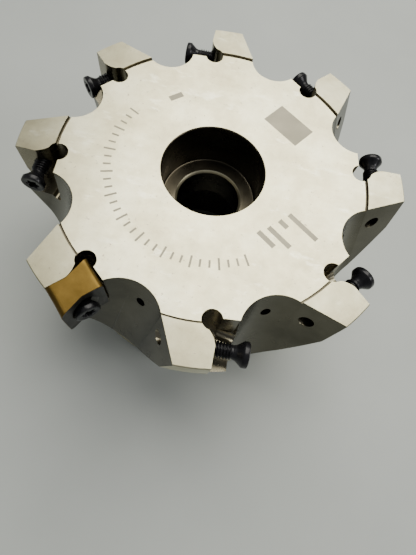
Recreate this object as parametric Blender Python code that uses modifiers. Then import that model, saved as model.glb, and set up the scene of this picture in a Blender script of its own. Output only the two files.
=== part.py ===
"""Shell-type face mill, 100 mm cutting diameter, with eight insert pockets.

The hub stands on its rear face at z = 0 and the cutting face looks up (+Z), so the
spindle axis is the Z axis.  One pocket holds an indexable insert.  The other seven are
empty, and their clamping screws are threaded part of the way into the bare seats.

Every pocket is drawn in a tooth frame: x runs outwards along the radius through the
tooth's trailing corner, y runs in the cutting direction (anticlockwise seen from the
cutting face) and z is the height above the recessed front disc.
"""
import math

import bmesh
import bpy
from mathutils import Matrix, Vector

MM = 0.001

# ---- whole tool ----
HEIGHT = 50 * MM                 # rear face to the recessed front disc
BODY_RADIUS = 48.9 * MM
HUB_RADIUS = 40.6 * MM
DISC_RADIUS = 39.3 * MM          # the front disc ends here and the tooth tops begin
TOOTH_RISE = 0.5 * MM            # tooth tops above the front disc
EDGE_BREAK = 0.5 * MM
BAND_HEIGHT = 9 * MM             # nearly cylindrical band around the teeth
BAND_END_RADIUS = 48.5 * MM
TAPER_END = 35.5 * MM            # depth below the front disc where the hub begins

# ---- arbor interface ----
ARBOR_RADIUS = 16 * MM
ARBOR_DEPTH = 26 * MM
ARBOR_SCREW_RADIUS = 8.7 * MM
COUNTERBORE_RADIUS = 13 * MM
COUNTERBORE_DEPTH = 14 * MM
LEDGE_BREAK = 0.6 * MM           # chamfer where the screw hole opens in the ledge
DRIVE_SLOT_WIDTH = 14.4 * MM
DRIVE_SLOT_DEPTH = 8 * MM

# ---- teeth: uneven pitch, so that the cutter runs without chatter ----
FIRST_TOOTH = math.radians(-136.7)
PITCH_DEGREES = (47.3, 46.8, 45.6, 44.2, 43.2, 42.7, 44.2, 46.0)
BACK_OUTER = Vector((48.6, 0.0)) * MM         # trailing corner of the tooth top
BACK_INNER = Vector((39.16, -4.43)) * MM      # where the next gullet begins
POCKET_END = Vector((36.77, 12.44)) * MM      # end of the pocket's inner wall

# ---- insert pocket ----
SEAT = 7.95 * MM                 # the seat is the plane y = SEAT
SEAT_BREAK = Vector((43.2, 7.95)) * MM
SEAT_CURVE = Vector((41.2, 7.0)) * MM
POCKET_DEPTH = 11.8 * MM
RELIEF_CENTRE = Vector((37.8, 6.4)) * MM
RELIEF_RADIUS = 2.4 * MM
RELIEF_DEPTH = 13 * MM
SCREW_REACH = 42.7 * MM          # screw axis at x = SCREW_REACH in the tooth frame
SCREW_DROP = 5.3 * MM            # and this far below the front disc
TAPPED_RADIUS = 2.05 * MM
TAPPED_DEPTH = 8.4 * MM          # beyond this the hole is narrower, out to the gullet
EXIT_RADIUS = 1.65 * MM

# ---- chip gullet ----
GULLET_ROOT = 34.7 * MM          # smallest radius of the gullet wall
GULLET_LEAN = 0.25               # the wall leans outwards by this much of its depth
GULLET_SWING = 0.15              # and swings back against the cutting direction
GULLET_REACH = 32 * MM           # depth at which the gullet is clear of the body
ARC_STEPS = 12
COOLANT_RADIUS = 1.2 * MM
COOLANT_DROP = 7 * MM
COOLANT_PLACE = 0.56             # along the wall from the pocket's end, as a fraction

# ---- insert ----
INSERT_HALF = 5.2 * MM           # from the screw axis to the shorter end corner
INSERT_FLARE = 0.3 * MM          # how much longer the other corner of each end is
INSERT_TOP = 0.9 * MM            # above the front disc
INSERT_HEIGHT = 12.4 * MM
INSERT_SEAT = SEAT + 0.3 * MM
INSERT_WAIST = 5.6 * MM          # thickness at the waist
INSERT_SKEW = 2.05 * MM          # how far the far corners stand out past the waist
INSERT_CORNER = 0.9 * MM
INSERT_HOLE = 2.35 * MM
INSERT_SINK = 3.6 * MM

# ---- clamping screw, M4 with a six-lobe socket ----
SHANK_RADIUS = 1.98 * MM
HEAD_RADIUS = 3.0 * MM
HEAD_RIM = 1.3 * MM
HEAD_CONE = 2.3 * MM
SCREW_LENGTH = 11.5 * MM
SCREW_STANDOFFS = (8.1, 8.0, 7.3, 7.5, 6.5, 7.4, 6.3, 6.4)   # seat to head end, in mm
SOCKET_RADIUS = 1.42 * MM
SOCKET_LOBE = 0.24 * MM
SOCKET_DEPTH = 1.6 * MM

TURN_STEPS = 96
SCREW_STEPS = 20
OVERCUT = 6 * MM


# ------------------------------------------------------------------ helpers
def clear_scene():
    for item in list(bpy.data.objects):
        bpy.data.objects.remove(item, do_unlink=True)


def new_collection(name):
    collection = bpy.data.collections.new(name)
    bpy.context.scene.collection.children.link(collection)
    return collection


def new_material(name, colour, metallic, roughness):
    material = bpy.data.materials.new(name)
    material.use_nodes = True
    shader = material.node_tree.nodes["Principled BSDF"]
    shader.inputs["Base Color"].default_value = (*colour, 1.0)
    shader.inputs["Metallic"].default_value = metallic
    shader.inputs["Roughness"].default_value = roughness
    return material


def object_from_bmesh(name, bm, collection):
    bmesh.ops.recalc_face_normals(bm, faces=bm.faces)
    mesh = bpy.data.meshes.new(name)
    bm.to_mesh(mesh)
    bm.free()
    item = bpy.data.objects.new(name, mesh)
    collection.objects.link(item)
    return item


def turned(name, profile, steps, collection):
    """A solid of revolution: profile is (radius, height) down its outer side."""
    bm = bmesh.new()
    points = [bm.verts.new((radius, 0.0, height)) for radius, height in profile]
    on_axis = profile[0][0] == 0.0
    pairs = list(zip(points, points[1:] if on_axis else points[1:] + points[:1]))
    for start, end in pairs:
        bm.edges.new((start, end))
    mesh = bpy.data.meshes.new(name)
    bm.to_mesh(mesh)
    bm.free()
    item = bpy.data.objects.new(name, mesh)
    collection.objects.link(item)
    screw = item.modifiers.new("Turn", "SCREW")
    screw.steps = steps
    screw.render_steps = steps
    screw.use_merge_vertices = True
    screw.merge_threshold = 1e-6
    return item


def add_prism(bm, outline, low, high, place, runs=()):
    """An outline extruded from high down to low, then along each (shift, drop) in runs."""
    rim = [bm.verts.new((point.x, point.y, high)) for point in outline]
    made = list(rim)
    face = bm.faces.new(rim)
    steps = [(Vector((0, 0)), high - low)] + list(runs)
    for index, (shift, drop) in enumerate(steps):
        keep = index == 0
        grown = bmesh.ops.extrude_face_region(bm, geom=[face], use_keep_orig=keep)["geom"]
        corners = [part for part in grown if isinstance(part, bmesh.types.BMVert)]
        bmesh.ops.translate(bm, verts=corners, vec=Vector((shift.x, shift.y, -drop)))
        if not keep:
            bm.faces.remove(face)
        face = next(part for part in grown if isinstance(part, bmesh.types.BMFace))
        made += corners
    bmesh.ops.transform(bm, matrix=place, verts=made)


def add_rod(bm, radius, start, end, segments):
    """A cylinder between two points."""
    start, end = Vector(start), Vector(end)
    turn = (end - start).to_track_quat("Z", "Y").to_matrix().to_4x4()
    place = Matrix.Translation((start + end) / 2) @ turn
    bmesh.ops.create_cone(bm, cap_ends=True, segments=segments, radius1=radius,
                          radius2=radius, depth=(end - start).length, matrix=place)


def add_turned(bm, profile, place, segments):
    """A solid turned about Z: profile is (radius, height) from its low end to its high end."""
    rings = []
    for radius, height in profile:
        turn = [math.tau * step / segments for step in range(segments)]
        rings.append([bm.verts.new(place @ Vector((radius * math.cos(angle),
                                                   radius * math.sin(angle), height)))
                      for angle in turn])
    for lower, upper in zip(rings, rings[1:]):
        for step in range(segments):
            after = (step + 1) % segments
            bm.faces.new((lower[step], lower[after], upper[after], upper[step]))
    bm.faces.new(reversed(rings[0]))
    bm.faces.new(rings[-1])


def cut(item, cutter):
    cutter.hide_render = True
    cutter.display_type = "WIRE"
    boolean = item.modifiers.new(cutter.name, "BOOLEAN")
    boolean.operation = "DIFFERENCE"
    boolean.object = cutter
    boolean.solver = "EXACT"


def bake(item):
    """The item's finished mesh, with its modifiers applied."""
    graph = bpy.context.evaluated_depsgraph_get()
    return bpy.data.meshes.new_from_object(item.evaluated_get(graph))


def smooth(mesh, degrees=30):
    mesh.shade_smooth()
    mesh.set_sharp_from_angle(angle=math.radians(degrees))


# ------------------------------------------------------------------ tooth layout
def tooth_angles():
    angles = [FIRST_TOOTH]
    for pitch in PITCH_DEGREES[:-1]:
        angles.append(angles[-1] + math.radians(pitch))
    return angles


def tooth_frame(angle):
    return Matrix.Translation((0, 0, HEIGHT)) @ Matrix.Rotation(angle, 4, "Z")


def turned_point(point, angle):
    return Vector((point.x * math.cos(angle) - point.y * math.sin(angle),
                   point.x * math.sin(angle) + point.y * math.cos(angle)))


def arc_through(start, middle, end, steps):
    """Points on the circle through three points, from start to end."""
    ax, ay = start - middle
    bx, by = end - middle
    scale = 2 * (ax * by - ay * bx)
    a_square, b_square = ax * ax + ay * ay, bx * bx + by * by
    centre = middle + Vector((by * a_square - ay * b_square, ax * b_square - bx * a_square)) / scale
    radius = (start - centre).length
    first = math.atan2(start.y - centre.y, start.x - centre.x)
    last = math.atan2(end.y - centre.y, end.x - centre.x)
    through = math.atan2(middle.y - centre.y, middle.x - centre.x)
    sweep = (last - first) % math.tau
    if (through - first) % math.tau > sweep:
        sweep -= math.tau
    turn = [first + sweep * step / steps for step in range(steps + 1)]
    return [centre + radius * Vector((math.cos(angle), math.sin(angle))) for angle in turn]


def gullet_direction(pitch, fraction):
    """Outward direction at a fraction of the way along the gullet's wall."""
    inner = turned_point(BACK_INNER, pitch)
    begin = math.atan2(POCKET_END.y, POCKET_END.x)
    finish = math.atan2(inner.y, inner.x)
    return turned_point(Vector((1, 0)), begin + (finish - begin) * fraction)


def gullet_outline(pitch):
    """Gullet seen from above, from the pocket's end to the back of the next tooth."""
    inner = turned_point(BACK_INNER, pitch)
    outer = turned_point(BACK_OUTER, pitch)
    root = gullet_direction(pitch, 0.5) * GULLET_ROOT
    wall = arc_through(POCKET_END, root, inner, ARC_STEPS)
    beyond = outer + (outer - inner).normalized() * OVERCUT
    mouth = Vector((BODY_RADIUS + OVERCUT, POCKET_END.y))
    far = gullet_direction(pitch, 0.5) * (BODY_RADIUS + 2 * OVERCUT)
    return wall + [beyond, far, mouth]


def pocket_outline():
    """Pocket seen from above: seat, relief corner and inner wall."""
    return [Vector((BODY_RADIUS + OVERCUT, SEAT)), SEAT_BREAK, SEAT_CURVE,
            RELIEF_CENTRE + Vector((1.7, -1.2)) * MM, RELIEF_CENTRE,
            Vector((37.1 * MM, 8.6 * MM)), POCKET_END, POCKET_END + Vector((0.6, 1.0)) * MM,
            Vector((BODY_RADIUS + OVERCUT, POCKET_END.y + 1.0 * MM))]


# ------------------------------------------------------------------ cutter body
def body_profile():
    top = HEIGHT + TOOTH_RISE
    return [
        (BODY_RADIUS - EDGE_BREAK, top),
        (BODY_RADIUS, top - EDGE_BREAK),
        (BAND_END_RADIUS, HEIGHT - BAND_HEIGHT),
        (HUB_RADIUS, HEIGHT - TAPER_END),
        (HUB_RADIUS, 1 * MM),
        (HUB_RADIUS - 1 * MM, 0.0),
        (ARBOR_RADIUS + EDGE_BREAK, 0.0),
        (ARBOR_RADIUS, EDGE_BREAK),
        (ARBOR_RADIUS, ARBOR_DEPTH),
        (ARBOR_SCREW_RADIUS, ARBOR_DEPTH),
        (ARBOR_SCREW_RADIUS, HEIGHT - COUNTERBORE_DEPTH - LEDGE_BREAK),
        (ARBOR_SCREW_RADIUS + LEDGE_BREAK, HEIGHT - COUNTERBORE_DEPTH),
        (COUNTERBORE_RADIUS, HEIGHT - COUNTERBORE_DEPTH),
        (COUNTERBORE_RADIUS, HEIGHT - EDGE_BREAK),
        (COUNTERBORE_RADIUS + EDGE_BREAK, HEIGHT),
        (DISC_RADIUS, HEIGHT),
        (DISC_RADIUS + TOOTH_RISE / 2, top),
    ]


def gullet_cutters(collection):
    bm = bmesh.new()
    for angle, pitch in zip(tooth_angles(), PITCH_DEGREES):
        pitch = math.radians(pitch)
        outwards = gullet_direction(pitch, 0.5)
        backwards = Vector((outwards.y, -outwards.x))
        shift = (outwards * GULLET_LEAN + backwards * GULLET_SWING) * GULLET_REACH
        add_prism(bm, gullet_outline(pitch), 0.0, OVERCUT, tooth_frame(angle),
                  [(shift, GULLET_REACH)])
    return object_from_bmesh("gullets", bm, collection)


def pocket_cutters(collection):
    bm = bmesh.new()
    for angle in tooth_angles():
        add_prism(bm, pocket_outline(), -POCKET_DEPTH, OVERCUT, tooth_frame(angle))
    return object_from_bmesh("pockets", bm, collection)


def relief_cutters(collection):
    """An upright hole that clears the inner seat corner of every pocket."""
    bm = bmesh.new()
    for angle in tooth_angles():
        place = tooth_frame(angle)
        low = place @ Vector((*RELIEF_CENTRE, -RELIEF_DEPTH))
        high = place @ Vector((*RELIEF_CENTRE, OVERCUT))
        add_rod(bm, RELIEF_RADIUS, low, high, 16)
    return object_from_bmesh("relief_holes", bm, collection)


def tapped_cutters(collection):
    """The screw hole of every seat, narrower where it comes out in the gullet behind."""
    step = SEAT - TAPPED_DEPTH
    profile = [(EXIT_RADIUS, -OVERCUT), (EXIT_RADIUS, step), (TAPPED_RADIUS, step),
               (TAPPED_RADIUS, SEAT + OVERCUT)]
    forwards = Matrix.Rotation(-math.pi / 2, 4, "X")
    bm = bmesh.new()
    for angle in tooth_angles():
        place = tooth_frame(angle) @ Matrix.Translation((SCREW_REACH, 0, -SCREW_DROP)) @ forwards
        add_turned(bm, profile, place, SCREW_STEPS)
    return object_from_bmesh("tapped_holes", bm, collection)


def coolant_cutters(collection):
    """One hole from each gullet wall down into the arbor bore."""
    bm = bmesh.new()
    for angle, pitch in zip(tooth_angles(), PITCH_DEGREES):
        outwards = gullet_direction(math.radians(pitch), COOLANT_PLACE)
        outside = outwards * (GULLET_ROOT + 4 * MM)
        inside = outwards * (ARBOR_RADIUS - 2 * MM)
        place = tooth_frame(angle)
        start = place @ Vector((outside.x, outside.y, 2 * MM - COOLANT_DROP))
        end = place @ Vector((inside.x, inside.y, ARBOR_DEPTH - 5 * MM - HEIGHT))
        add_rod(bm, COOLANT_RADIUS, start, end, 10)
    return object_from_bmesh("coolant_holes", bm, collection)


def drive_slot_cutter(collection):
    bm = bmesh.new()
    size = Vector((2 * HUB_RADIUS + OVERCUT, DRIVE_SLOT_WIDTH, 2 * DRIVE_SLOT_DEPTH))
    bmesh.ops.create_cube(bm, size=1.0, matrix=Matrix.Diagonal((*size, 1.0)))
    return object_from_bmesh("drive_slot", bm, collection)


def make_body(collection, cutters, material):
    body = turned("cutter_body", body_profile(), TURN_STEPS, collection)
    cut(body, gullet_cutters(cutters))
    cut(body, pocket_cutters(cutters))
    cut(body, relief_cutters(cutters))
    cut(body, tapped_cutters(cutters))
    cut(body, coolant_cutters(cutters))
    cut(body, drive_slot_cutter(cutters))
    body.data.materials.append(material)
    return body


# ------------------------------------------------------------------ insert
def insert_outline():
    """Hourglass outline, the same when turned half way round."""
    waist = INSERT_WAIST / 2
    seat_side = [Vector((INSERT_HALF + INSERT_FLARE, -waist)), Vector((0.5 * MM, -waist)),
                 Vector((-INSERT_HALF, -waist - INSERT_SKEW))]
    return seat_side + [-point for point in seat_side]


def make_insert(collection, cutters, material, angle):
    middle = Vector((SCREW_REACH, INSERT_SEAT + INSERT_WAIST / 2, INSERT_TOP - INSERT_HEIGHT / 2))
    bm = bmesh.new()
    add_prism(bm, insert_outline(), -INSERT_HEIGHT / 2, INSERT_HEIGHT / 2, Matrix())
    corners = [edge for edge in bm.edges
               if all(abs(vert.co.x) > INSERT_HALF - 1e-5 for vert in edge.verts)
               and abs(edge.verts[0].co.z - edge.verts[1].co.z) < 1e-6]
    bmesh.ops.bevel(bm, geom=corners, offset=INSERT_CORNER, segments=2, profile=0.5,
                    affect="EDGES")
    insert = object_from_bmesh("cutting_insert", bm, collection)
    insert.matrix_world = tooth_frame(angle) @ Matrix.Translation(middle)
    depth = INSERT_WAIST / 2
    sink = INSERT_SINK - INSERT_HOLE
    hole = turned("insert_hole", [
        (0.0, depth + OVERCUT), (INSERT_SINK, depth + OVERCUT), (INSERT_SINK, depth),
        (INSERT_HOLE, depth - sink), (INSERT_HOLE, sink - depth), (INSERT_SINK, -depth),
        (INSERT_SINK, -depth - OVERCUT), (0.0, -depth - OVERCUT)], SCREW_STEPS, cutters)
    hole.matrix_world = insert.matrix_world @ Matrix.Rotation(-math.pi / 2, 4, "X")
    cut(insert, hole)
    insert.data.materials.append(material)
    return insert


# ------------------------------------------------------------------ clamping screws
def socket_outline():
    points = []
    for step in range(24):
        turn = math.tau * step / 24
        radius = SOCKET_RADIUS + SOCKET_LOBE * math.cos(6 * turn)
        points.append(Vector((math.cos(turn), math.sin(turn))) * radius)
    return points


def screw_mesh(collection, cutters):
    """The screw along +Z, with its origin in the middle of the head's flat end."""
    tip = SCREW_LENGTH
    blank = turned("screw_blank", [
        (0.0, 0.0), (HEAD_RADIUS - 0.2 * MM, 0.0), (HEAD_RADIUS, -0.2 * MM),
        (HEAD_RADIUS, -HEAD_RIM), (SHANK_RADIUS, -HEAD_RIM - HEAD_CONE),
        (SHANK_RADIUS, -tip + 0.5 * MM), (SHANK_RADIUS - 0.5 * MM, -tip), (0.0, -tip)],
        SCREW_STEPS, collection)
    bm = bmesh.new()
    add_prism(bm, socket_outline(), -SOCKET_DEPTH, 1 * MM, Matrix())
    socket = object_from_bmesh("screw_socket", bm, cutters)
    cut(blank, socket)
    mesh = bake(blank)
    bpy.data.objects.remove(blank, do_unlink=True)
    bpy.data.objects.remove(socket, do_unlink=True)
    mesh.name = "clamp_screw"
    return mesh


def make_screws(collection, cutters, material):
    mesh = screw_mesh(collection, cutters)
    mesh.materials.append(material)
    smooth(mesh)
    outwards = Matrix.Rotation(-math.pi / 2, 4, "X")
    for number, (angle, standoff) in enumerate(zip(tooth_angles(), SCREW_STANDOFFS), start=1):
        item = bpy.data.objects.new(f"clamp_screw_{number}", mesh)
        collection.objects.link(item)
        end = Matrix.Translation((SCREW_REACH, SEAT + standoff * MM, -SCREW_DROP))
        item.matrix_world = tooth_frame(angle) @ end @ outwards


# ------------------------------------------------------------------ build
def main():
    clear_scene()
    tool = new_collection("face_mill")
    cutters = new_collection("face_mill_cutters")
    steel = new_material("satin_steel", (0.66, 0.63, 0.56), 1.0, 0.38)
    coating = new_material("gold_coated_carbide", (0.50, 0.34, 0.10), 1.0, 0.36)
    black = new_material("black_oxide", (0.03, 0.03, 0.035), 0.9, 0.32)
    make_body(tool, cutters, steel)
    make_insert(tool, cutters, coating, tooth_angles()[0])
    make_screws(tool, cutters, black)


main()
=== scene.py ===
"""Looks of the face mill: fine body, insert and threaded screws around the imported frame.

Lengths are in metres.  Each tooth is drawn in its own frame, as in the CAD: x outwards
through the tooth's trailing corner, y in the cutting direction, z above the front disc.
"""
import math

import bmesh
import bpy
from mathutils import Matrix, Vector


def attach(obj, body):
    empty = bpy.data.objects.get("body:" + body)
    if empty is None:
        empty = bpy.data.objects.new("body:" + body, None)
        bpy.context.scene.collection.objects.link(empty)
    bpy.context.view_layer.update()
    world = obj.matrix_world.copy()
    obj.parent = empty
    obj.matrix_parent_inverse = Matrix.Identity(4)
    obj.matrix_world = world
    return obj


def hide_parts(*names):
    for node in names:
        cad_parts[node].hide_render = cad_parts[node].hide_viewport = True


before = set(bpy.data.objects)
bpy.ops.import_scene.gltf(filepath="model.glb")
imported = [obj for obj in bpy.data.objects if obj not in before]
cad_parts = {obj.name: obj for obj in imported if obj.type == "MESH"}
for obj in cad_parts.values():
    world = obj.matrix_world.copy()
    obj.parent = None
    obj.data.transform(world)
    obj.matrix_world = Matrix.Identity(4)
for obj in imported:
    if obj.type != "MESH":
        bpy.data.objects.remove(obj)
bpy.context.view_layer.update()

MM = 0.001

# ---- whole tool: the CAD's driving sizes, with the outer radii 0.02 mm smaller so that this
# finer body stays inside the CAD's coarser one ----
HEIGHT = 50 * MM
BODY_RADIUS = 48.88 * MM
HUB_RADIUS = 40.58 * MM
DISC_RADIUS = 39.3 * MM
TOOTH_RISE = 0.5 * MM
TOP_FALL = 0.35 * MM             # tooth tops fall by this much towards the rim
EDGE_BREAK = 0.5 * MM
BAND_HEIGHT = 9 * MM
BAND_END_RADIUS = 48.48 * MM
TAPER_END = 35.5 * MM
ARBOR_RADIUS = 16 * MM
ARBOR_DEPTH = 26 * MM
ARBOR_SCREW_RADIUS = 8.7 * MM
COUNTERBORE_RADIUS = 13 * MM
COUNTERBORE_DEPTH = 14 * MM
LEDGE_BREAK = 0.6 * MM
STEP_GROOVE = 0.45 * MM          # width of the turned groove at the foot of the tooth tops
STEP_DEPTH = STEP_GROOVE * 0.6
DRIVE_SLOT_WIDTH = 14.4 * MM
DRIVE_SLOT_DEPTH = 8 * MM

# ---- teeth ----
FIRST_TOOTH = math.radians(-136.7)
PITCH_DEGREES = (47.3, 46.8, 45.6, 44.2, 43.2, 42.7, 44.2, 46.0)
BACK_OUTER = Vector((48.6, 0.0)) * MM
BACK_INNER = Vector((39.16, -4.43)) * MM
POCKET_END = Vector((36.77, 12.44)) * MM
SEAT = 7.95 * MM
SEAT_BREAK = Vector((43.2, 7.95)) * MM
SEAT_CURVE = Vector((41.2, 7.0)) * MM
POCKET_DEPTH = 11.8 * MM
RELIEF_CENTRE = Vector((37.8, 6.4)) * MM
RELIEF_RADIUS = 2.4 * MM
RELIEF_DEPTH = 13 * MM
FLOOR_GROOVE_RADIUS = 1.5 * MM
GROOVE_START = Vector((37.3, 5.6, -11.1)) * MM
GROOVE_END = Vector((39.1, 16.0, -11.1)) * MM
SCREW_REACH = 42.7 * MM
SCREW_DROP = 5.3 * MM
TAPPED_RADIUS = 2.05 * MM
TAPPED_DEPTH = 8.4 * MM
EXIT_RADIUS = 1.65 * MM
GULLET_ROOT = 34.7 * MM
GULLET_LEAN = 0.25
GULLET_SWING = 0.15
GULLET_REACH = 32 * MM
COOLANT_RADIUS = 1.2 * MM
COOLANT_DROP = 7 * MM
COOLANT_PLACE = 0.56

# ---- insert ----
INSERT_HALF = 5.2 * MM
INSERT_FLARE = 0.3 * MM
INSERT_TOP = 0.9 * MM
INSERT_HEIGHT = 12.4 * MM
INSERT_SEAT = SEAT + 0.3 * MM
INSERT_WAIST = 5.6 * MM
INSERT_SKEW = 2.05 * MM
INSERT_CORNER = 1.15 * MM
INSERT_HOLE = 2.35 * MM
INSERT_SINK = 3.5 * MM
INSERT_BREAK = 0.5 * MM          # the rake face starts to stand out this far short of the middle
RAKE_FADE = 0.12                 # and stands out this much less at its foot, as a fraction
RAKE_LEVELS = ((1.0, 0.06), (0.985, 0.0), (0.90, 0.10), (0.75, 0.22), (0.60, 0.16))  # size, mm down
FLANK_STEPS = 4
FLANK_PINCH = 0.012

# ---- clamping screw ----
THREAD_CREST = 1.97 * MM
THREAD_ROOT = 1.55 * MM
THREAD_PITCH = 0.7 * MM
HEAD_RADIUS = 3.0 * MM
HEAD_RIM = 1.2 * MM
HEAD_CONE = 2.3 * MM
SCREW_LENGTH = 11.5 * MM
SCREW_STANDOFFS = (8.1, 8.0, 7.3, 7.5, 6.5, 7.4, 6.3, 6.4)
SOCKET_RADIUS = 1.42 * MM
SOCKET_LOBE = 0.24 * MM
SOCKET_DEPTH = 1.6 * MM

TURN_STEPS = 192
ARC_STEPS = 40
OVERCUT = 6 * MM
FINE_BEVEL = 0.16 * MM
ETCH_DEPTH = 0.02 * MM
TICK_COUNT = 31
TICK_START = 152                 # degrees round the disc
TICK_SWEEP = 146

# ---- places of the body's materials in its material list, the painted-shade copies among them ----
POCKET_SHADE_PLACE = 2
BORE_SHADE_PLACE = 3
TOOTH_SHADE_PLACE = 5


# ------------------------------------------------------------------ node helpers
def new_material(name):
    material = bpy.data.materials.new(name)
    material.use_nodes = True
    tree = material.node_tree
    return material, tree, tree.nodes["Principled BSDF"]


def node(tree, kind, **values):
    made = tree.nodes.new(kind)
    for name, value in values.items():
        if name in made.inputs:
            made.inputs[name].default_value = value
        else:
            setattr(made, name, value)
    return made


def noise(tree, scale, detail=4.0, roughness=0.55, stretch=(1, 1, 1)):
    place = node(tree, "ShaderNodeTexCoord")
    mapping = node(tree, "ShaderNodeMapping")
    mapping.inputs["Scale"].default_value = stretch
    made = node(tree, "ShaderNodeTexNoise", Scale=scale, Detail=detail, Roughness=roughness)
    tree.links.new(place.outputs["Object"], mapping.inputs["Vector"])
    tree.links.new(mapping.outputs["Vector"], made.inputs["Vector"])
    return made.outputs["Fac"]


def ramp(tree, source, stops):
    made = node(tree, "ShaderNodeValToRGB")
    elements = made.color_ramp.elements
    while len(elements) < len(stops):
        elements.new(0.5)
    for element, (place, colour) in zip(elements, stops):
        element.position = place
        element.color = (*colour, 1.0) if len(colour) == 3 else colour
    tree.links.new(source, made.inputs["Fac"])
    return made.outputs["Color"]


def spread(tree, source, low, high):
    made = node(tree, "ShaderNodeMapRange")
    made.inputs["To Min"].default_value = low
    made.inputs["To Max"].default_value = high
    tree.links.new(source, made.inputs["Value"])
    return made.outputs["Result"]


def bump(tree, shader, source, strength, distance):
    made = node(tree, "ShaderNodeBump", Strength=strength, Distance=distance)
    tree.links.new(source, made.inputs["Height"])
    tree.links.new(made.outputs["Normal"], shader.inputs["Normal"])
    return made


def mix(tree, factor, first, second):
    made = node(tree, "ShaderNodeMix", data_type="RGBA")
    tree.links.new(factor, made.inputs["Factor"])
    for socket, value in (("A", first), ("B", second)):
        target = next(entry for entry in made.inputs if entry.name == socket and entry.type == "RGBA")
        if isinstance(value, bpy.types.NodeSocket):
            tree.links.new(value, target)
        else:
            target.default_value = (*value, 1.0)
    return next(entry for entry in made.outputs if entry.type == "RGBA")


# ------------------------------------------------------------------ materials
def satin_steel(name, shade):
    """Warm nickel-plated steel, satin, with faint stains and a fine blasted grain; a shade below 1
    darkens it all as painted shade.
    """
    material, tree, shader = new_material(name)
    stops = [(place, tuple(shade * part for part in colour)) for place, colour in (
        (0.34, (0.56, 0.515, 0.345)), (0.50, (0.68, 0.64, 0.445)), (0.66, (0.80, 0.77, 0.575)))]
    stains = ramp(tree, noise(tree, 75, 7, 0.68), stops)
    haze = ramp(tree, noise(tree, 150, 5, 0.6, (1, 2.2, 1)), [(0.60, (0, 0, 0)), (0.74, (1, 1, 1))])
    wiped = mix(tree, haze, stains, (0.86 * shade, 0.84 * shade, 0.68 * shade))
    specks = ramp(tree, noise(tree, 1150, 3, 0.6), [(0.27, (1, 1, 1)), (0.35, (0, 0, 0))])
    tree.links.new(mix(tree, specks, wiped, (0.42, 0.37, 0.28)), shader.inputs["Base Color"])
    tree.links.new(spread(tree, noise(tree, 160, 5, 0.65), 0.24, 0.50), shader.inputs["Roughness"])
    shader.inputs["Metallic"].default_value = 1.0
    bump(tree, shader, noise(tree, 2600, 4, 0.6), 0.25, 0.00004)
    return material


def milled_steel(name, light, dark, roughness):
    """Machined steel in the gullets, pockets and bores, shinier, with faint cutter tracks; its dark
    colours there are painted shade of these hollows.
    """
    material, tree, shader = new_material(name)
    shade = ramp(tree, noise(tree, 90, 5, 0.6), [(0.3, dark), (0.75, light)])
    tree.links.new(shade, shader.inputs["Base Color"])
    tree.links.new(spread(tree, noise(tree, 240, 4, 0.6), roughness - 0.05, roughness + 0.08),
                   shader.inputs["Roughness"])
    shader.inputs["Metallic"].default_value = 1.0
    bump(tree, shader, noise(tree, 320, 3, 0.5, (1, 1, 6)), 0.18, 0.00008)
    return material


def gold_coating():
    """Brownish gold coating on the insert's flanks and rims."""
    material, tree, shader = new_material("gold_coating")
    shade = ramp(tree, noise(tree, 220, 6, 0.6),
                 [(0.3, (0.105, 0.066, 0.016)), (0.75, (0.170, 0.109, 0.029))])
    tree.links.new(shade, shader.inputs["Base Color"])
    tree.links.new(spread(tree, noise(tree, 700, 5, 0.6), 0.34, 0.50), shader.inputs["Roughness"])
    shader.inputs["Metallic"].default_value = 1.0
    bump(tree, shader, noise(tree, 3200, 3, 0.6), 0.3, 0.00003)
    return material


def rake_coating():
    """Dark coating on the insert's rake faces."""
    material, tree, shader = new_material("rake_coating")
    shade = ramp(tree, noise(tree, 260, 5, 0.6),
                 [(0.3, (0.075, 0.073, 0.068)), (0.75, (0.135, 0.132, 0.122))])
    tree.links.new(shade, shader.inputs["Base Color"])
    tree.links.new(spread(tree, noise(tree, 800, 4, 0.6), 0.28, 0.42), shader.inputs["Roughness"])
    shader.inputs["Metallic"].default_value = 0.9
    bump(tree, shader, noise(tree, 3000, 3, 0.6), 0.3, 0.00003)
    return material


def black_oxide():
    """Blackened steel of the clamping screws."""
    material, tree, shader = new_material("black_oxide")
    shade = ramp(tree, noise(tree, 500, 5, 0.6),
                 [(0.35, (0.008, 0.008, 0.010)), (0.80, (0.030, 0.030, 0.034))])
    tree.links.new(shade, shader.inputs["Base Color"])
    tree.links.new(spread(tree, noise(tree, 900, 4, 0.6), 0.18, 0.34), shader.inputs["Roughness"])
    shader.inputs["Metallic"].default_value = 0.55
    bump(tree, shader, noise(tree, 4000, 3, 0.6), 0.25, 0.00003)
    return material


def floor_paint():
    material, tree, shader = new_material("floor_paint")
    shade = ramp(tree, noise(tree, 12, 4, 0.6), [(0.3, (0.43, 0.46, 0.45)), (0.75, (0.49, 0.52, 0.51))])
    tree.links.new(shade, shader.inputs["Base Color"])
    shader.inputs["Roughness"].default_value = 0.5
    return material


# ------------------------------------------------------------------ mesh helpers
def link(name, mesh):
    item = bpy.data.objects.new(name, mesh)
    bpy.context.scene.collection.objects.link(item)
    return item


def object_from_bmesh(name, bm, material):
    bmesh.ops.recalc_face_normals(bm, faces=bm.faces)
    mesh = bpy.data.meshes.new(name)
    bm.to_mesh(mesh)
    bm.free()
    mesh.materials.append(material)
    return link(name, mesh)


def smooth(mesh, degrees):
    mesh.shade_smooth()
    mesh.set_sharp_from_angle(angle=math.radians(degrees))


def revolve(bm, profile, steps):
    """A closed profile turned about the Z axis: profile runs down the outer side."""
    rings = []
    for radius, height in profile:
        ring = []
        for step in range(steps):
            turn = math.tau * step / steps
            ring.append(bm.verts.new((radius * math.cos(turn), radius * math.sin(turn), height)))
        rings.append(ring)
    for upper, lower in zip(rings, rings[1:] + rings[:1]):
        for step in range(steps):
            after = (step + 1) % steps
            bm.faces.new((upper[step], lower[step], lower[after], upper[after]))


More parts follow.
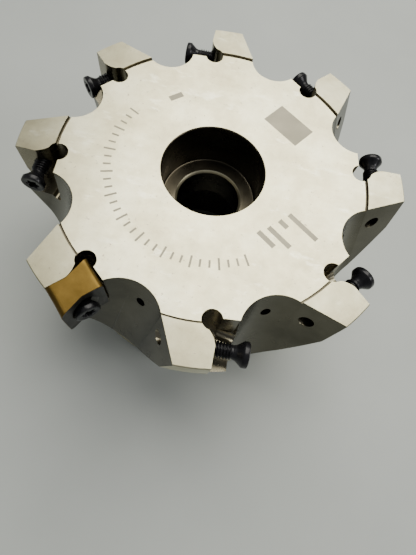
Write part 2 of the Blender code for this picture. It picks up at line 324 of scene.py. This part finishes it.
def add_prism(bm, outline, low, high, place, runs=()):
    """An outline extruded from high down to low, then along each (shift, drop) in runs."""
    rim = [bm.verts.new((point.x, point.y, high)) for point in outline]
    made = list(rim)
    face = bm.faces.new(rim)
    for index, (shift, drop) in enumerate([(Vector((0, 0)), high - low)] + list(runs)):
        keep = index == 0
        grown = bmesh.ops.extrude_face_region(bm, geom=[face], use_keep_orig=keep)["geom"]
        corners = [part for part in grown if isinstance(part, bmesh.types.BMVert)]
        bmesh.ops.translate(bm, verts=corners, vec=Vector((shift.x, shift.y, -drop)))
        if not keep:
            bm.faces.remove(face)
        face = next(part for part in grown if isinstance(part, bmesh.types.BMFace))
        made += corners
    bmesh.ops.transform(bm, matrix=place, verts=made)


def add_rod(bm, radius, start, end, segments, end_radius=None):
    """A cylinder, or a cone with end_radius, between two points."""
    start, end = Vector(start), Vector(end)
    turn = (end - start).to_track_quat("Z", "Y").to_matrix().to_4x4()
    place = Matrix.Translation((start + end) / 2) @ turn
    bmesh.ops.create_cone(bm, cap_ends=True, segments=segments, radius1=radius,
                          radius2=radius if end_radius is None else end_radius,
                          depth=(end - start).length, matrix=place)


def add_turned(bm, profile, place, segments):
    """A solid turned about Z: profile is (radius, height) from its low end to its high end."""
    rings = []
    for radius, height in profile:
        turn = [math.tau * step / segments for step in range(segments)]
        rings.append([bm.verts.new(place @ Vector((radius * math.cos(angle),
                                                   radius * math.sin(angle), height)))
                      for angle in turn])
    for lower, upper in zip(rings, rings[1:]):
        for step in range(segments):
            after = (step + 1) % segments
            bm.faces.new((lower[step], lower[after], upper[after], upper[step]))
    bm.faces.new(reversed(rings[0]))
    bm.faces.new(rings[-1])


def cut(item, cutter):
    boolean = item.modifiers.new(cutter.name, "BOOLEAN")
    boolean.operation = "DIFFERENCE"
    boolean.object = cutter
    boolean.solver = "EXACT"
    boolean.material_mode = "TRANSFER"
    cutter.hide_render = True


def bake(item):
    """Applies the item's modifiers to its mesh."""
    graph = bpy.context.evaluated_depsgraph_get()
    mesh = bpy.data.meshes.new_from_object(item.evaluated_get(graph))
    item.modifiers.clear()
    item.data = mesh


def remove(items):
    for item in items:
        bpy.data.objects.remove(item, do_unlink=True)


# ------------------------------------------------------------------ tooth layout
def tooth_angles():
    angles = [FIRST_TOOTH]
    for pitch in PITCH_DEGREES[:-1]:
        angles.append(angles[-1] + math.radians(pitch))
    return angles


def tooth_frame(angle):
    return Matrix.Translation((0, 0, HEIGHT)) @ Matrix.Rotation(angle, 4, "Z")


def turned_point(point, angle):
    return Vector((point.x * math.cos(angle) - point.y * math.sin(angle),
                   point.x * math.sin(angle) + point.y * math.cos(angle)))


def arc_through(start, middle, end, steps):
    """Points on the circle through three points, from start to end."""
    ax, ay = start - middle
    bx, by = end - middle
    scale = 2 * (ax * by - ay * bx)
    a_square, b_square = ax * ax + ay * ay, bx * bx + by * by
    centre = middle + Vector((by * a_square - ay * b_square, ax * b_square - bx * a_square)) / scale
    radius = (start - centre).length
    first = math.atan2(start.y - centre.y, start.x - centre.x)
    last = math.atan2(end.y - centre.y, end.x - centre.x)
    through = math.atan2(middle.y - centre.y, middle.x - centre.x)
    sweep = (last - first) % math.tau
    if (through - first) % math.tau > sweep:
        sweep -= math.tau
    turn = [first + sweep * step / steps for step in range(steps + 1)]
    return [centre + radius * Vector((math.cos(angle), math.sin(angle))) for angle in turn]


def gullet_direction(pitch, fraction):
    """Outward direction at a fraction of the way along the gullet's wall."""
    inner = turned_point(BACK_INNER, pitch)
    begin = math.atan2(POCKET_END.y, POCKET_END.x)
    finish = math.atan2(inner.y, inner.x)
    return turned_point(Vector((1, 0)), begin + (finish - begin) * fraction)


def gullet_outline(pitch):
    inner = turned_point(BACK_INNER, pitch)
    outer = turned_point(BACK_OUTER, pitch)
    root = gullet_direction(pitch, 0.5) * GULLET_ROOT
    wall = arc_through(POCKET_END, root, inner, ARC_STEPS)
    beyond = outer + (outer - inner).normalized() * OVERCUT
    mouth = Vector((BODY_RADIUS + OVERCUT, POCKET_END.y))
    far = gullet_direction(pitch, 0.5) * (BODY_RADIUS + 2 * OVERCUT)
    return wall + [beyond, far, mouth]


def pocket_outline():
    """Seat, a curve into the relief corner, and the inner wall."""
    hollow = RELIEF_CENTRE + Vector((1.7, -1.2)) * MM
    curve = arc_through(SEAT_BREAK, SEAT_CURVE, hollow, 8)
    return [Vector((BODY_RADIUS + OVERCUT, SEAT)), *curve, RELIEF_CENTRE,
            Vector((37.1 * MM, 8.6 * MM)), POCKET_END, POCKET_END + Vector((0.6, 1.0)) * MM,
            Vector((BODY_RADIUS + OVERCUT, POCKET_END.y + 1.0 * MM))]


# ------------------------------------------------------------------ cutter body
def body_profile():
    top = HEIGHT + TOOTH_RISE
    return [
        (BODY_RADIUS - EDGE_BREAK / 2, top - TOP_FALL),
        (BODY_RADIUS, top - TOP_FALL - EDGE_BREAK / 2),
        (BAND_END_RADIUS, HEIGHT - BAND_HEIGHT),
        (HUB_RADIUS, HEIGHT - TAPER_END),
        (HUB_RADIUS, 1 * MM),
        (HUB_RADIUS - 1 * MM, 0.0),
        (ARBOR_RADIUS + EDGE_BREAK, 0.0),
        (ARBOR_RADIUS, EDGE_BREAK),
        (ARBOR_RADIUS, ARBOR_DEPTH),
        (ARBOR_SCREW_RADIUS, ARBOR_DEPTH),
        (ARBOR_SCREW_RADIUS, HEIGHT - COUNTERBORE_DEPTH - LEDGE_BREAK),
        (ARBOR_SCREW_RADIUS + LEDGE_BREAK, HEIGHT - COUNTERBORE_DEPTH),
        (COUNTERBORE_RADIUS - 0.5 * MM, HEIGHT - COUNTERBORE_DEPTH),
        (COUNTERBORE_RADIUS - 0.12 * MM, HEIGHT - COUNTERBORE_DEPTH + 0.14 * MM),
        (COUNTERBORE_RADIUS, HEIGHT - COUNTERBORE_DEPTH + 0.6 * MM),
        (COUNTERBORE_RADIUS, HEIGHT - EDGE_BREAK / 2),
        (COUNTERBORE_RADIUS + EDGE_BREAK / 2, HEIGHT),
        (DISC_RADIUS - STEP_GROOVE, HEIGHT),
        (DISC_RADIUS - STEP_DEPTH, HEIGHT - STEP_DEPTH),
        (DISC_RADIUS, HEIGHT - STEP_DEPTH),
        (DISC_RADIUS + TOOTH_RISE / 4, top),
    ]


def cutters(shaded_gullet_steel, shaded_pocket_steel, shaded_bore_steel):
    """Every volume that is cut from the turned blank."""
    step = SEAT - TAPPED_DEPTH
    hole = [(EXIT_RADIUS, -OVERCUT), (EXIT_RADIUS, step), (TAPPED_RADIUS, step),
            (TAPPED_RADIUS, SEAT + OVERCUT)]
    gullets, pockets, reliefs, grooves, tapped, coolant = (bmesh.new() for _ in range(6))
    for angle, pitch in zip(tooth_angles(), PITCH_DEGREES):
        place = tooth_frame(angle)
        pitch = math.radians(pitch)
        outwards = gullet_direction(pitch, 0.5)
        backwards = Vector((outwards.y, -outwards.x))
        shift = (outwards * GULLET_LEAN + backwards * GULLET_SWING) * GULLET_REACH
        add_prism(gullets, gullet_outline(pitch), 0.0, OVERCUT, place, [(shift, GULLET_REACH)])
        add_prism(pockets, pocket_outline(), -POCKET_DEPTH, OVERCUT, place)
        relief = (RELIEF_CENTRE.x, RELIEF_CENTRE.y)
        add_rod(reliefs, RELIEF_RADIUS, place @ Vector((*relief, -RELIEF_DEPTH)),
                place @ Vector((*relief, OVERCUT)), 40)
        add_rod(grooves, FLOOR_GROOVE_RADIUS, place @ GROOVE_START, place @ GROOVE_END, 32)
        on_axis = Matrix.Translation((SCREW_REACH, 0, -SCREW_DROP))
        add_turned(tapped, hole, place @ on_axis @ Matrix.Rotation(-math.pi / 2, 4, "X"), 40)
        way = gullet_direction(pitch, COOLANT_PLACE)
        outside = way * (GULLET_ROOT + 4 * MM)
        inside = way * (ARBOR_RADIUS - 2 * MM)
        add_rod(coolant, COOLANT_RADIUS,
                place @ Vector((outside.x, outside.y, 2 * MM - COOLANT_DROP)),
                place @ Vector((inside.x, inside.y, ARBOR_DEPTH - 5 * MM - HEIGHT)), 24)
    slot = bmesh.new()
    size = Vector((2 * HUB_RADIUS + OVERCUT, DRIVE_SLOT_WIDTH, 2 * DRIVE_SLOT_DEPTH))
    bmesh.ops.create_cube(slot, size=1.0, matrix=Matrix.Diagonal((*size, 1.0)))
    return [object_from_bmesh(name, bm, material) for name, bm, material in (
        ("gullets", gullets, shaded_gullet_steel), ("pockets", pockets, shaded_pocket_steel),
        ("reliefs", reliefs, shaded_pocket_steel), ("grooves", grooves, shaded_pocket_steel),
        ("tapped", tapped, shaded_pocket_steel), ("coolant", coolant, shaded_bore_steel),
        ("slot", slot, shaded_gullet_steel))]


def etched_marks(etched):
    """Shallow plain marks on the front disc, in mm and degrees: a graduated arc, a block, bars."""
    bm = bmesh.new()

    def bar(x, y, turn, length, width):
        place = Matrix.Translation((x * MM, y * MM, HEIGHT)) @ Matrix.Rotation(math.radians(turn), 4, "Z")
        size = Matrix.Diagonal((length * MM, width * MM, 2 * ETCH_DEPTH, 1))
        bmesh.ops.create_cube(bm, size=1.0, matrix=place @ size)

    for step in range(TICK_COUNT):
        share = step / (TICK_COUNT - 1)
        turn = TICK_START + TICK_SWEEP * share
        reach = 26.6 - 1.2 * share
        length = (3.0, 1.9, 1.9)[step % 3]
        bar(reach * math.cos(math.radians(turn)), reach * math.sin(math.radians(turn)), turn, length, 0.5)
    bar(17.0, 18.7, -36, 11.4, 7.2)
    for x, y, length in ((23.9, -10.9, 9.0), (19.2, -11.2, 2.6), (18.6, -14.9, 7.0), (15.6, -16.1, 5.2)):
        bar(x, y, -36, length, 1.3)
    bar(-14.0, 20.3, 41, 3.9, 1.7)
    return object_from_bmesh("marks", bm, etched)


def make_body(satin, shaded_gullet_steel, shaded_pocket_steel, shaded_bore_steel, etched, shaded_tops):
    """Turned blank with its cuts, then broken edges, then the etched marks."""
    bm = bmesh.new()
    revolve(bm, body_profile(), TURN_STEPS)
    body = object_from_bmesh("mill_body", bm, satin)
    for extra in (shaded_gullet_steel, shaded_pocket_steel, shaded_bore_steel, etched, shaded_tops):
        body.data.materials.append(extra)
    for face in body.data.polygons:
        centre = face.center
        reach = math.hypot(centre.x, centre.y)
        in_bore = reach < ARBOR_RADIUS + EDGE_BREAK / 4 and 0 < centre.z < HEIGHT - EDGE_BREAK / 4
        in_step = abs(reach - DISC_RADIUS) < STEP_GROOVE and centre.z > HEIGHT - 1 * MM
        on_chamfer = in_bore and abs(reach - ARBOR_SCREW_RADIUS - LEDGE_BREAK / 2) < LEDGE_BREAK / 3
        # painted shade, lighter than the bore's: the walls of the step groove at the foot of the tooth
        # tops
        if in_step and abs(face.normal.z) < 0.5:
            face.material_index = POCKET_SHADE_PLACE
        # painted shade: the step groove's floor and the bore, all but its chamfer, which keeps the light
        # satin colour
        elif in_step or in_bore and not on_chamfer:
            face.material_index = BORE_SHADE_PLACE
        # painted shade: the tooth tops get the satin steel darkened to 0.84
        elif reach > DISC_RADIUS + 1 * MM and centre.z > HEIGHT:
            face.material_index = TOOTH_SHADE_PLACE
    tools = cutters(shaded_gullet_steel, shaded_pocket_steel, shaded_bore_steel)
    for tool in tools:
        cut(body, tool)
    bake(body)
    remove(tools)
    bevel = body.modifiers.new("Edges", "BEVEL")
    bevel.width = FINE_BEVEL
    bevel.segments = 2
    bevel.limit_method = "ANGLE"
    bevel.angle_limit = math.radians(35)
    bevel.miter_outer = "MITER_ARC"
    bake(body)
    marks = etched_marks(etched)
    cut(body, marks)
    bake(body)
    remove([marks])
    smooth(body.data, 30)
    even = body.modifiers.new("Even", "WEIGHTED_NORMAL")
    even.keep_sharp = True
    even.weight = 100
    bake(body)
    return body


# ------------------------------------------------------------------ insert
def rounded_rectangle(half_x, half_z, corner, steps):
    """Points round a rectangle with round corners, and how far each lies round it."""
    points = []
    for centre_x, centre_z, start in ((1, 1, 0), (-1, 1, 90), (-1, -1, 180), (1, -1, 270)):
        for step in range(steps + 1):
            turn = math.radians(start + 90 * step / steps)
            points.append(Vector((centre_x * (half_x - corner) + corner * math.cos(turn),
                                  centre_z * (half_z - corner) + corner * math.sin(turn))))
    filled = []
    for here, after in zip(points, points[1:] + points[:1]):
        count = max(1, round((after - here).length / (0.45 * MM)))
        filled += [here.lerp(after, part / count) for part in range(count)]
    return filled


def rake_height(x, z, half_x, half_z):
    """How far the rake face stands off the insert's middle plane."""
    rise = max(0.0, (x + INSERT_BREAK) / (half_x + INSERT_BREAK))
    edge = 1 - RAKE_FADE * min(1.0, max(0.0, -z / half_z))
    return INSERT_WAIST / 2 + INSERT_SKEW * rise * edge


def rake_rings(bm, rim, side, half_x, half_z):
    """Rings of one rake face, from its rim over the chip groove and down the screw hole."""
    rings = []
    for scale, sink in RAKE_LEVELS:
        ring = []
        for point in rim:
            x, z = point.x * scale, point.y * scale
            grow = max(1.0, INSERT_SINK * 1.02 / math.hypot(x, z))
            x, z = x * grow, z * grow
            height = rake_height(x * side, z, half_x, half_z) - sink * MM
            ring.append(bm.verts.new((x, side * height, z)))
        rings.append(ring)
    seat_height = INSERT_WAIST / 2 - 0.10 * MM - (INSERT_SINK - INSERT_HOLE)
    for radius, fixed_height in ((INSERT_SINK, None), (INSERT_HOLE, seat_height), (INSERT_HOLE, 0.0)):
        ring = []
        for point in rim:
            x, z = point.x / point.length * radius, point.y / point.length * radius
            height = fixed_height
            if height is None:
                height = rake_height(x * side, z, half_x, half_z) - RAKE_LEVELS[-1][1] * MM
            ring.append(bm.verts.new((x, side * height, z)))
        rings.append(ring)
    return rings


def flank_ring(bm, front, back, share):
    """A ring between the two rims, drawn in most halfway between them."""
    pinch = 1.0 - FLANK_PINCH * math.sin(math.pi * share)
    ring = []
    for first, last in zip(front, back):
        spot = first.co.lerp(last.co, share)
        ring.append(bm.verts.new((spot.x * pinch, spot.y, spot.z * pinch)))
    return ring


def bridge(bm, outer, inner, material_index):
    for step in range(len(outer)):
        after = (step + 1) % len(outer)
        face = bm.faces.new((outer[step], outer[after], inner[after], inner[step]))
        face.material_index = material_index


def make_insert(gold, rake, angle):
    """Hourglass insert: two rake faces with a screw hole between them, joined by the flanks."""
    half_x = INSERT_HALF + INSERT_FLARE / 2
    half_z = INSERT_HEIGHT / 2
    rim = rounded_rectangle(half_x, half_z, INSERT_CORNER, 6)
    bm = bmesh.new()
    sides = [rake_rings(bm, rim, side, half_x, half_z) for side in (1, -1)]
    for rings in sides:
        for index, (outer, inner) in enumerate(zip(rings, rings[1:])):
            bridge(bm, outer, inner, 1 if index >= 1 else 0)
    front, back = sides[0][0], sides[1][0]
    previous = front
    for level in range(1, FLANK_STEPS + 1):
        current = back if level == FLANK_STEPS else flank_ring(bm, front, back, level / FLANK_STEPS)
        bridge(bm, previous, current, 0)
        previous = current
    bmesh.ops.remove_doubles(bm, verts=bm.verts, dist=1e-6)
    bmesh.ops.recalc_face_normals(bm, faces=bm.faces)
    mesh = bpy.data.meshes.new("insert_fine")
    bm.to_mesh(mesh)
    bm.free()
    mesh.materials.append(gold)
    mesh.materials.append(rake)
    reach = INSERT_WAIST / 2 + INSERT_SKEW
    for vert in mesh.vertices:
        vert.co.x -= INSERT_FLARE / 2 * vert.co.y / reach * abs(vert.co.x) / half_x
    middle = Vector((SCREW_REACH, INSERT_SEAT + INSERT_WAIST / 2, INSERT_TOP - INSERT_HEIGHT / 2))
    mesh.transform(tooth_frame(angle) @ Matrix.Translation(middle))
    smooth(mesh, 32)
    return link("insert_fine", mesh)


# ------------------------------------------------------------------ clamping screws
def screw_mesh(material):
    """One screw along +Z with its origin at the head's flat end: a loft of rings."""
    segments = 48
    bm = bmesh.new()
    under = -HEAD_RIM - HEAD_CONE

    def thread_radius(height, turn):
        phase = (height / THREAD_PITCH - turn / math.tau) % 1.0
        crest = max(0.0, min(1.0, 1.35 - 2.7 * abs(phase - 0.5) * 1.25))
        fade = min(1.0, (under - height) / (0.8 * MM), (height + SCREW_LENGTH) / (0.9 * MM))
        return THREAD_ROOT + (THREAD_CREST - THREAD_ROOT) * crest * max(0.0, fade)

    def lobe(scale):
        return lambda turn: scale * (SOCKET_RADIUS + SOCKET_LOBE * math.cos(6 * turn))

    rings = [(0.55 * THREAD_ROOT, -SCREW_LENGTH), (THREAD_ROOT - 0.2 * MM, -SCREW_LENGTH),
             (THREAD_ROOT, -SCREW_LENGTH + 0.25 * MM)]
    step_height = THREAD_PITCH / 8
    level = -SCREW_LENGTH + 0.3 * MM
    while level < under - 0.05 * MM:
        rings.append((lambda turn, height=level: thread_radius(height, turn), level))
        level += step_height
    rings += [(THREAD_ROOT, under), (THREAD_ROOT + 0.12 * MM, under + 0.25 * MM)]
    for part in range(1, 7):
        share = part / 6
        rings.append((THREAD_ROOT + (HEAD_RADIUS - THREAD_ROOT) * share ** 1.15,
                      under + HEAD_CONE * (0.12 + 0.88 * share)))
    rings += [(HEAD_RADIUS, -HEAD_RIM + 0.1 * MM), (HEAD_RADIUS, -0.32 * MM),
              (HEAD_RADIUS - 0.09 * MM, -0.10 * MM), (HEAD_RADIUS - 0.32 * MM, 0.0),
              (2.25 * MM, 0.0), (2.1 * MM, -0.05 * MM), (lobe(1.08), -0.05 * MM), (lobe(1.0), -0.18 * MM),
              (lobe(0.97), -SOCKET_DEPTH), (0.45 * MM, -SOCKET_DEPTH - 0.3 * MM)]
    loops = []
    for radius, height in rings:
        loop = []
        for part in range(segments):
            turn = math.tau * part / segments
            reach = radius(turn) if callable(radius) else radius
            loop.append(bm.verts.new((reach * math.cos(turn), reach * math.sin(turn), height)))
        loops.append(loop)
    for lower, upper in zip(loops, loops[1:]):
        for part in range(segments):
            after = (part + 1) % segments
            bm.faces.new((lower[part], lower[after], upper[after], upper[part]))
    bm.faces.new(reversed(loops[0]))
    bm.faces.new(loops[-1])
    bmesh.ops.recalc_face_normals(bm, faces=bm.faces)
    mesh = bpy.data.meshes.new("screw_fine")
    bm.to_mesh(mesh)
    bm.free()
    mesh.materials.append(material)
    smooth(mesh, 40)
    return mesh


def make_screws(material):
    mesh = screw_mesh(material)
    outwards = Matrix.Rotation(-math.pi / 2, 4, "X")
    for number, (angle, standoff) in enumerate(zip(tooth_angles(), SCREW_STANDOFFS), start=1):
        spin = Matrix.Rotation(math.radians(37 * number), 4, "Z")
        end = Matrix.Translation((SCREW_REACH, SEAT + standoff * MM, -SCREW_DROP))
        item = link(f"screw_fine_{number}", mesh)
        item.matrix_world = tooth_frame(angle) @ end @ outwards @ spin
        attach(item, f"screw_{number}")
        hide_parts(f"clamp_screw_{number}")


# ------------------------------------------------------------------ stage
def make_floor():
    bm = bmesh.new()
    bmesh.ops.create_grid(bm, x_segments=1, y_segments=1, size=1.5)
    floor = object_from_bmesh("floor", bm, floor_paint())


def area_light(name, place, aim, size, power, colour):
    lamp = bpy.data.lights.new(name, "AREA")
    lamp.shape = "SQUARE"
    lamp.size = size
    lamp.energy = power
    lamp.color = colour
    item = bpy.data.objects.new(name, lamp)
    bpy.context.scene.collection.objects.link(item)
    item.location = place
    item.rotation_euler = (Vector(aim) - Vector(place)).to_track_quat("-Z", "Y").to_euler()


def make_lights():
    world = bpy.data.worlds.new("studio")
    world.use_nodes = True
    background = world.node_tree.nodes["Background"]
    background.inputs["Color"].default_value = (0.95, 0.97, 1.0, 1.0)
    background.inputs["Strength"].default_value = 0.26
    bpy.context.scene.world = world
    centre = (0, 0, HEIGHT)
    area_light("key", (0.10, 0.44, 0.84), centre, 0.85, 11.2, (1.0, 0.97, 0.86))
    area_light("side", (0.75, -0.05, 0.55), centre, 0.30, 2.0, (1.0, 0.98, 0.95))


def make_camera():
    """A phone's wide lens close above the tool, leaning over its front edge."""
    lens = bpy.data.cameras.new("camera")
    lens.sensor_width = 36.0
    lens.lens = 27.05
    lens.shift_x = 0.0128
    lens.shift_y = -0.0373
    lens.clip_start = 0.005
    camera = bpy.data.objects.new("camera", lens)
    bpy.context.scene.collection.objects.link(camera)
    elevation, roll, distance = math.radians(66.80), math.radians(12.22), 94.59 * MM
    aim = Vector((1.56 * MM, -24.01 * MM, HEIGHT))
    away = Vector((0, -math.cos(elevation), math.sin(elevation)))
    up = Vector((0, math.sin(elevation), math.cos(elevation)))
    side = Vector((1, 0, 0))
    across = side * math.cos(roll) + up * math.sin(roll)
    upright = up * math.cos(roll) - side * math.sin(roll)
    turn = Matrix((across, upright, away)).transposed().to_4x4()
    camera.matrix_world = Matrix.Translation(aim + away * distance) @ turn
    bpy.context.scene.camera = camera


def main():
    # painted shade: the gullets get a dark copy of the body steel
    shaded_gullet_steel = milled_steel("shaded_gullet_steel", (0.137, 0.130, 0.100), (0.077, 0.073, 0.054), 0.24)
    # painted shade: pockets, reliefs, floor grooves, tapped holes and the step walls get a mid-dark copy
    # of the steel
    shaded_pocket_steel = milled_steel("shaded_pocket_steel", (0.30, 0.275, 0.205), (0.17, 0.155, 0.11), 0.26)
    # painted shade: the bore, coolant holes and step groove get a near-black copy of the steel
    shaded_bore_steel = milled_steel("shaded_bore_steel", (0.13, 0.116, 0.086), (0.05, 0.044, 0.032), 0.27)
    etched = milled_steel("etched_steel", (0.31, 0.29, 0.23), (0.25, 0.235, 0.185), 0.50)
    # the second satin steel, at 0.84, is painted shade on the tooth tops
    body = make_body(satin_steel("satin_steel", 1.0), shaded_gullet_steel, shaded_pocket_steel, shaded_bore_steel, etched,
                     satin_steel("shaded_tooth_steel", 0.84))
    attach(body, "body")
    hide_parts("cutter_body")
    insert = make_insert(gold_coating(), rake_coating(), tooth_angles()[0])
    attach(insert, "insert")
    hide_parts("cutting_insert")
    make_screws(black_oxide())
    make_floor()
    make_lights()
    make_camera()


main()
